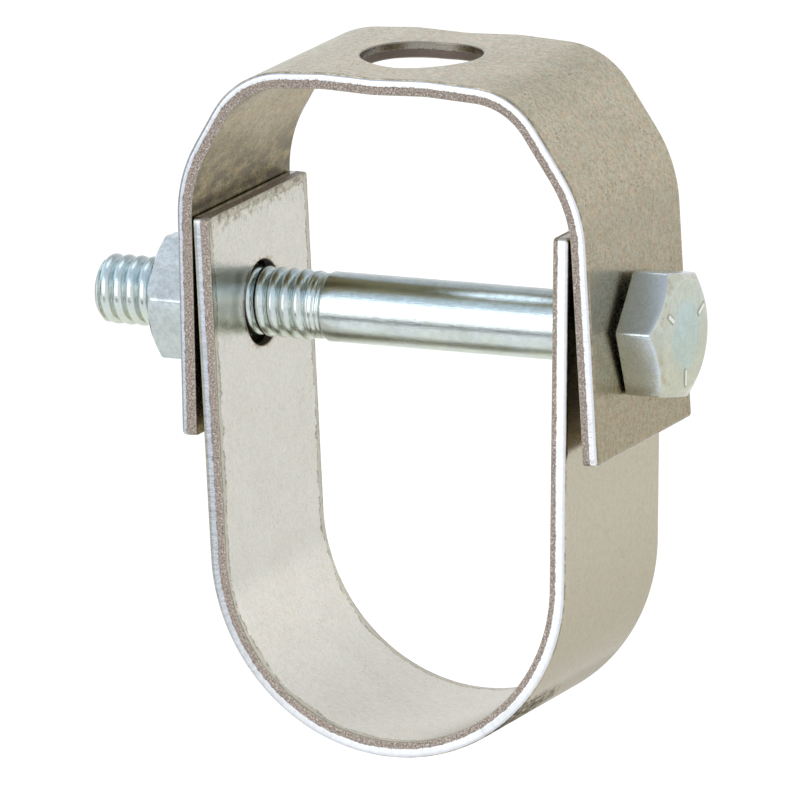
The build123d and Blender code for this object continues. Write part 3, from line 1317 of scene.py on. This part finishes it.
@dataclass(frozen=True)
class HeadFinish(ZincFinish):
    """The head's zinc: a bluish face with a straw rim, dashes picked out with a painted highlight and painted
    shadow, and darker drawn sides, the lowest with painted shade.
    """

    top: float = 0.0  # x of the head's face
    side: Colour = (1.05, 1.10, 1.26)  # what multiplies the tone on the six sides
    underside_shade: Colour = (0.80, 0.79, 0.80)  # painted shade: the same on the lowest of them
    bloom: Colour = (0.62, 0.70, 0.80)  # the pale blue patches on the sides
    bevelled: Colour = (0.96, 0.94, 0.88)  # what multiplies the tone on the bevel
    blushed: Colour = (0.84, 0.72, 0.66)  # the same on its pink patches
    rim: Colour = (0.97, 0.95, 0.87)  # what multiplies the tone of the face outside its middle
    centre: Colour = (0.84, 0.95, 0.98)  # the same in its middle
    worn: Colour = (0.86, 0.87, 0.82)  # the tone of the dashes' tops, a painted highlight; also used for the lighter ring at the face's edge
    shade: Colour = (0.26, 0.26, 0.19)  # painted shadow beside the dashes
    rim_radius: float = 5.0  # of the lighter ring at the face's edge

    def worked(self, tree: Tree, tone: Socket, level: Value) -> Socket:
        """Tints the sides, with painted shade on the lowest, the bevel and the face, and picks the dashes out with
        painted shadow and a painted highlight.

        Args:
            tree: the material's tree.
            tone: the tone so far.
            level: the height above the bolt's axis, in metres.

        Returns:
            The colour.
        """
        place = tree.place()
        x, y, _ = tree.parts(place)
        face, bevel, dash = map(tree.mark, ("face", "bevel", "dash"))
        flank = tree.math("SUBTRACT", 1 - face, bevel, clamp=True)
        # Painted shade on the lowest of the six sides.
        tone = tree.tint(flank, tone, tree.mix(level.span(-4.4 * MM, -3.4 * MM), self.underside_shade, self.side))
        patches = tree.noise(place, 1.5, 3.0, 0.6).span(0.42, 0.62)
        close = (self.top * MM - x).span(2.4 * MM, 0.9 * MM)
        tone = tree.mix(patches * close * flank * 0.8, tone, self.bloom)
        tone = tree.tint(bevel, tone, self.bevelled)
        blush = tree.noise(place, 1.0, 4.0, 0.65).span(0.44, 0.72)
        tone = tree.tint(blush * bevel, tone, self.blushed)
        radius = tree.math("SQRT", y * y + level * level)
        inside = (radius + (tree.noise(place, 1.5, 4.0, 0.65) - 0.5) * (3.0 * MM)).span(3.9 * MM, 2.2 * MM)
        tone = tree.tint(face, tone, tree.mix(inside, self.rim, self.centre))
        # Painted shadow beside the dashes and a painted highlight on their tops.
        tone = tree.mix(dash.span(0.02, 0.15) * dash.span(0.75, 0.45) * 0.7, tone, self.shade)
        tone = tree.mix(dash.span(0.55, 0.85), tone, self.worn)
        rim = abs(radius - self.rim_radius * MM).span(0.16 * MM, 0.05 * MM)
        return tree.mix(rim * blush * 0.4, tone, self.worn)


@dataclass(frozen=True)
class ScrewFinish(ZincFinish):
    """The shank's and thread's zinc: olive in the grooves, with a painted reflection that is bluer above and darker
    along the very top.
    """

    root: Colour = (0.40, 0.42, 0.33)  # what multiplies the tone in the grooves
    upper: Colour = (1.02, 1.14, 1.25)  # what multiplies it on the upper half, a painted bluer reflection
    dark_top_reflection: Colour = (0.66, 0.62, 0.58)  # what multiplies it along the very top, a painted dark reflection

    def worked(self, tree: Tree, tone: Socket, level: Value) -> Socket:
        """Tints the grooves, and paints reflections on the upper half and along the top.

        Args:
            tree: the material's tree.
            tone: the tone so far.
            level: the height above the bolt's axis, in metres.

        Returns:
            The colour.
        """
        tone = tree.tint(tree.mark("groove").span(0.25, 0.8), tone, self.root)
        # Painted reflections: bluer on the upper half, darker along the very top.
        tone = tree.tint(level.span(0.5 * MM, 1.7 * MM), tone, self.upper)
        return tree.tint(level.span(2.5 * MM, 3.0 * MM), tone, self.dark_top_reflection)


# ---------------------------------------------------------------- the hanger


@dataclass
class Hanger:
    """The four pieces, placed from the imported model. Rises and reaches are from the bolt's axis."""

    axis_z: float  # height of the bolt's axis
    seat: tuple[float, float]  # (x, z) of the pipe seat's axis
    seat_radius: float
    width: float  # of the strip
    rod_radius: float
    thickness: float = 1.5
    bolt_hole: float = 3.9  # radius of the holes for the bolt
    hole_drop: float = 0.2  # the cradle's holes stand this far below the axis
    splay: float = 1.77  # of the cradle's legs, in degrees
    head_rise: float = 10.5  # of the cradle's leg at the head
    nut_rise: float = 9.74
    leg_gap: float = 0.15  # between the cradle's leg tops and the yoke
    head_reach: float = 10.1  # of the yoke's leg at the head, downwards
    nut_reach: float = 10.4
    head_splay: float = 2.3
    corner_half_span: float = 13.68  # the yoke's two corners
    corner_fall: float = 0.5
    crown_half_span: float = 5.0  # the top dips between these
    crown_rise: float = 0.2
    shoulder_rise: float = 13.35
    bends: tuple[float, ...] = (13.0, 8.6, 14.0, 14.0, 14.0, 7.5, 13.0)  # the yoke's, from the nut's side
    thread: Thread = Thread(crest=3.175, start=-0.2)

    @classmethod
    def from_frame(cls) -> "Hanger":
        """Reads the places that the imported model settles.

        Returns:
            The hanger.
        """
        record = frame["record"]
        mounts = {mount["name"]: mount for mount in record["mounts"]}
        joints = {joint["name"]: joint for joint in record["behaviour"]["joints"]}
        low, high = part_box("yoke")
        seat = mounts["pipe_seat"]
        return cls(
            axis_z=joints["cradle_pivot"]["pos_m"][2] / MM,
            seat=(seat["pos_m"][0] / MM, seat["pos_m"][2] / MM),
            seat_radius=seat["dims"]["r_mm"],
            width=(high.y - low.y) / MM,
            rod_radius=mounts["rod_hole"]["dims"]["r_mm"],
        )

    def half_width(self, rise: float) -> float:
        """Half of the cradle's outer width at a height above the bolt's axis."""
        at_axis = (self.seat_radius + self.thickness) / cos(radians(self.splay))
        return at_axis + (self.axis_z - self.seat[1] + rise) * tan(radians(self.splay))

    def yoke_x(self, rise: float, splay: float, meets_at: float) -> float:
        """From the cradle's middle to the outer face of a yoke leg that the cradle meets at a height."""
        where = self.half_width(meets_at) + self.leg_gap + self.thickness / cos(radians(splay))
        return where + (meets_at - rise) * tan(radians(splay))

    def yoke(self) -> BentStrap:
        """The strap that hangs from the rod.

        Returns:
            The strap, with the rod hole where its outer face passes nearest to the rod's axis.
        """
        middle, dip = self.seat[0], self.thickness
        crown = dip + self.crown_rise
        corner = crown - self.corner_fall
        nut_leg, head_leg = (
            [
                (middle + side * self.yoke_x(rise, splay, meets_at), self.axis_z + rise)
                for rise in (-reach, self.shoulder_rise)
            ]
            for side, splay, meets_at, reach in (
                (-1, 0.0, self.nut_rise, self.nut_reach),
                (1, self.head_splay, self.head_rise, self.head_reach),
            )
        )
        half_top = [(self.corner_half_span, corner), (self.crown_half_span, crown)]
        bridge = [*((-x, z) for x, z in half_top), (0, dip), *reversed(half_top)]
        line = BentLine.through(np.array([*nut_leg, *bridge, *reversed(head_leg)]), np.array(self.bends))
        samples = np.linspace(0, line.length, 4001)
        rod = float(samples[np.argmin(np.hypot(*(line.at(samples)[0] - (0, dip)).T))])
        reach = self.head_reach / cos(radians(self.head_splay))
        places = {self.nut_reach: self.bolt_hole, rod: self.rod_radius, line.length - reach: self.bolt_hole}
        holes = [Hole(along, radius) for along, radius in places.items()]
        return BentStrap("yoke_strap", line, Inside.RIGHT, self.width, self.thickness, holes)

    def cradle(self) -> BentStrap:
        """The strap that the pipe lies in: a leg, a round seat and a leg.

        Returns:
            The strap, whose rolled edge is sharper at the nut's side.
        """
        radius, lean = self.seat_radius + self.thickness, radians(self.splay)
        x, z = self.seat
        nut_leg, head_leg = (
            (self.axis_z - z + rise) / cos(lean) + radius * tan(lean) for rise in (self.nut_rise, self.head_rise)
        )
        starts = np.array([0, nut_leg, nut_leg + radius * (pi - 2 * lean)])
        places = np.array(
            [
                (x - self.half_width(self.nut_rise), self.axis_z + self.nut_rise),
                (x - radius * cos(lean), z - radius * sin(lean)),
                (x + radius * cos(lean), z - radius * sin(lean)),
            ]
        )
        headings = np.array([lean - pi / 2, lean - pi / 2, pi / 2 - lean])
        line = BentLine(starts, places, headings, np.array([0, 1 / radius, 0]), float(starts[-1] + head_leg))
        nut_hole, head_hole = ((rise + self.hole_drop) / cos(lean) for rise in (self.nut_rise, self.head_rise))
        holes = [Hole(nut_hole, self.bolt_hole), Hole(line.length - head_hole, self.bolt_hole)]
        crisp = Shear(roll=0.08, lip=0.05)
        return BentStrap("cradle_strap", line, Inside.LEFT, self.width, self.thickness, holes, crisp)

    def bolt(self) -> Bolt:
        """The bolt, between the ends of its CAD node's box."""
        low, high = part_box("bolt")
        hexagon = Hexagon(turn=11.0, sharpness=90.0, circle_share=0.9)
        return Bolt(self.axis_z, high.x / MM, low.x / MM, hexagon, self.thread)

    def nut(self) -> Nut:
        """The nut, between the ends of its CAD node's box."""
        low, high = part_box("nut")
        hexagon = Hexagon(turn=7.0, sharpness=80.0, circle_share=0.95)
        return Nut(self.axis_z, low.x / MM, high.x / MM, hexagon, self.thread)


# ---------------------------------------------------------------- the studio


def towards(azimuth: float, elevation: float) -> Array:
    """The direction from the hanger to an azimuth, where 0 is -Y, and an elevation, in degrees."""
    a, e = radians(azimuth), radians(elevation)
    return np.array([sin(a) * cos(e), -cos(a) * cos(e), sin(e)])


@dataclass(frozen=True)
class Lamp:
    """A soft square lamp. Angles are in degrees, lengths in metres."""

    name: str
    azimuth: float
    elevation: float
    distance: float
    size: float
    watts: float


@dataclass(frozen=True)
class Flag:
    """A dark board beside bright metal, which only shows in reflections. Units as a lamp's."""

    name: str
    azimuth: float
    elevation: float
    distance: float
    width: float
    height: float
    tone: Colour


@dataclass
class Studio:
    """Plain pale floor, soft light and the camera."""

    target: tuple[float, float, float]  # the point that all is placed round, in millimetres
    azimuth: float = 24.7352  # the camera's direction round the hanger, in degrees
    elevation: float = 13.2800
    roll: float = -1.1795  # its turn about its own line of sight, in degrees
    distance: float = 1479.06  # from the target, in millimetres
    right: float = -2.745  # how far right of the target it stands, in millimetres
    up: float = -7.697  # how far above, square to its line of sight
    lens: float = 741.23
    sensor: float = 36.0  # its width
    floor_drop: float = 0.28  # how far the floor lies below the hanger, in metres
    lamps: tuple[Lamp, ...] = (
        Lamp("front_softbox", 335.3, 15.0, 1.6, 1.36, 6.0),
        Lamp("top_softbox", 230.0, 70.0, 1.6, 1.0, 2.5),
    )
    flags: tuple[Flag, ...] = (
        Flag("front_flag", 335.3, -21.3, 0.72, 0.55, 0.115, (0.02, 0.02, 0.02)),
        Flag("left_flag", 282.0, 0.0, 0.9, 0.34, 0.5, (0.26, 0.27, 0.25)),
    )

    def set_camera(self) -> None:
        """Places the camera, looking square to its right and up directions."""
        back = Vector(towards(self.azimuth, self.elevation))
        level = Vector((0, 0, 1)).cross(back).normalized()
        upright, roll = back.cross(level), radians(self.roll)
        right = cos(roll) * level + sin(roll) * upright
        up = cos(roll) * upright - sin(roll) * level
        place = Vector(self.target) + right * self.right + up * self.up + back * self.distance
        lens = bpy.data.cameras.new("camera")
        lens.lens, lens.sensor_width = self.lens, self.sensor
        lens.clip_start, lens.clip_end = 0.05, 50.0
        camera = bpy.data.objects.new("camera", lens)
        camera.matrix_world = Matrix.Translation(place * MM) @ Matrix((right, up, back)).transposed().to_4x4()
        bpy.context.scene.collection.objects.link(camera)
        bpy.context.scene.camera = camera

    def set_lamps(self) -> None:
        """Places the soft lamps, all turned to the hanger."""
        for lamp in self.lamps:
            away = Vector(towards(lamp.azimuth, lamp.elevation))
            light = bpy.data.lights.new(lamp.name, "AREA")
            light.shape, light.size, light.energy = "SQUARE", lamp.size, lamp.watts
            made = bpy.data.objects.new(lamp.name, light)
            place = Matrix.Translation(Vector(self.target) * MM + away * lamp.distance)
            made.matrix_world = place @ away.to_track_quat("Z", "Y").to_matrix().to_4x4()
            bpy.context.scene.collection.objects.link(made)

    def set_flags(self) -> None:
        """Places the dark boards, each a plain sheet turned to the hanger."""
        halves = np.array([-0.5, 0.5])
        for flag in self.flags:
            away, side = towards(flag.azimuth, flag.elevation), towards(flag.azimuth + 90, 0)
            across, up = (half[..., None] for half in np.meshgrid(halves, halves, indexing="ij"))
            middle = np.array(self.target) * MM + away * flag.distance
            points = middle + across * flag.width * side + up * flag.height * np.cross(away, side)
            made, tree = new_material(flag.name)
            tree.surface(tree.put("BsdfDiffuse", {"Color": flag.tone}))
            sheet = Surface()
            sheet.add_grid(points / MM, {})
            board = sheet.piece(flag.name, made)
            board.visible_camera = board.visible_diffuse = board.visible_shadow = False
            board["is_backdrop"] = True

    def set_world(self) -> None:
        """A pale surround: white where the camera sees it, and for the rest paler level than above and below."""
        world = bpy.data.worlds.new("surround")
        world.use_nodes = True
        bpy.context.scene.world = world
        tree = Tree(world.node_tree)
        height = tree.parts(tree.put("TexCoord").outputs["Generated"])[2]
        above = tree.mix(height.span(0.15, 0.95), WHITE, (0.60, 0.62, 0.64))
        around = tree.mix(height.span(-0.15, -0.9), above, (0.78, 0.79, 0.76))
        colour = tree.mix(tree.put("LightPath").outputs["Is Camera Ray"], around, WHITE)
        shader = tree.put("Background", {"Color": colour, "Strength": 1.0})
        tree.put("OutputWorld", {"Surface": shader.outputs[0]})

    def set_floor(self) -> None:
        """A plain pale floor well below the hanger, as a round sheet that glows a little where it is seen."""
        angle = np.linspace(0, 2 * pi, 49)[:-1]
        radius = np.array([9.0, 2.0, 0.5, 0.0])[:, None]
        low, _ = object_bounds()
        points = np.stack([radius * np.cos(angle), radius * np.sin(angle), 0 * radius * angle], axis=-1)
        points[..., 2] = low.z - self.floor_drop
        sheet = Surface()
        sheet.add_grid(points / MM, {}, ring=True)
        made, tree = new_material("pale_floor")
        seen = tree.put("LightPath").outputs
        shown = Value(tree, seen["Is Camera Ray"]) * 0.45 + Value(tree, seen["Is Glossy Ray"]) * 0.28
        glow = tree.put("Emission", {"Color": WHITE, "Strength": shown})
        matt = tree.put("BsdfDiffuse", {"Color": (0.80, 0.80, 0.79)})
        tree.surface(tree.put("AddShader", {0: matt.outputs[0], 1: glow.outputs[0]}))
        sheet.piece("floor", made)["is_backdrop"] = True

    def build(self) -> None:
        """Sets up the whole studio."""
        for step in (self.set_world, self.set_floor, self.set_lamps, self.set_flags, self.set_camera):
            step()
        bpy.context.scene.view_settings.view_transform = "Standard"


YOKE_FINISH = StripFinish(
    name="yoke_steel",
    pale=(0.625, 0.585, 0.50),
    deep=(0.555, 0.515, 0.435),
    inner_pale=(0.455, 0.365, 0.215),
    inner_deep=(0.36, 0.288, 0.162),
    far_shade_tone=(0.44, 0.375, 0.265),
    darkens=(44.0, 101.0),
    roughness=0.28,
    speckle=0.7,
    pepper=0.5,
    border=0.3,
    inner_dark_span=(22.0, 29.5),
    inner_dark_strength=0.85,
    roll_near=(0.50, 0.54, 0.60),
    land_near=(0.62, 0.66, 0.74),
    land=0.37,
    land_growth=0.0016,
)
CRADLE_FINISH = StripFinish(
    name="cradle_steel",
    pale=(0.66, 0.61, 0.485),
    deep=(0.62, 0.57, 0.445),
    inner_pale=(0.80, 0.785, 0.735),
    inner_deep=(0.765, 0.745, 0.69),
    far_shade_tone=(0.61, 0.56, 0.45),
    roughness=0.2,
    speckle=0.22,
    pepper=0.12,
    turned_dull=0.3,
    belly=(58.0, 66.0, 76.0, 91.0),
    belly_tint=(0.84, 0.82, 0.77),
    grazing=(0.80, 0.79, 0.77),
    end_stain=0.8,
    rub=(70.8, -8.0),
    rub_strength=0.95,
    rub_veil=0.16,
    land=0.46,
    land_growth=0.002,
)


def main() -> None:
    """Builds and dresses each piece, then sets up the studio."""
    logging.basicConfig(level=logging.INFO, format="%(name)s: %(message)s")
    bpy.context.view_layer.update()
    hanger = Hanger.from_frame()
    shank_finish = ScrewFinish(
        name="bolt_zinc",
        axis_z=hanger.axis_z,
        blue=(0.70, 0.78, 0.80),
        straw=(0.66, 0.72, 0.60),
        dull=(0.48, 0.52, 0.49),
        roughness=0.2,
        drawn=2.0,
        tide=-1.6,
    )
    head_finish = HeadFinish(
        name="bolt_head_zinc",
        axis_z=hanger.axis_z,
        top=hanger.bolt().top,
        blue=(0.66, 0.73, 0.71),
        straw=(0.64, 0.67, 0.57),
        dull=(0.52, 0.54, 0.47),
        roughness=0.24,
        drawn=1.2,
        mottle=0.5,
    )
    nut_finish = ZincFinish(
        name="nut_zinc",
        axis_z=hanger.axis_z,
        blue=(0.82, 0.91, 1.0),
        straw=(0.60, 0.65, 0.63),
        dull=(0.44, 0.50, 0.51),
        roughness=0.36,
        etch=0.09,
        etch_size=0.35,
        mottle=0.6,
    )

    dress(hanger.yoke().build(YOKE_FINISH.material()), "yoke")
    dress(hanger.cradle().build(CRADLE_FINISH.material()), "cradle")
    dress(hanger.bolt().build(head_finish.material(), shank_finish.material()), "bolt")
    dress(hanger.nut().build(nut_finish.material()), "nut")
    Studio(target=(hanger.seat[0], 0.0, hanger.axis_z)).build()


if __name__ == "__main__":
    main()
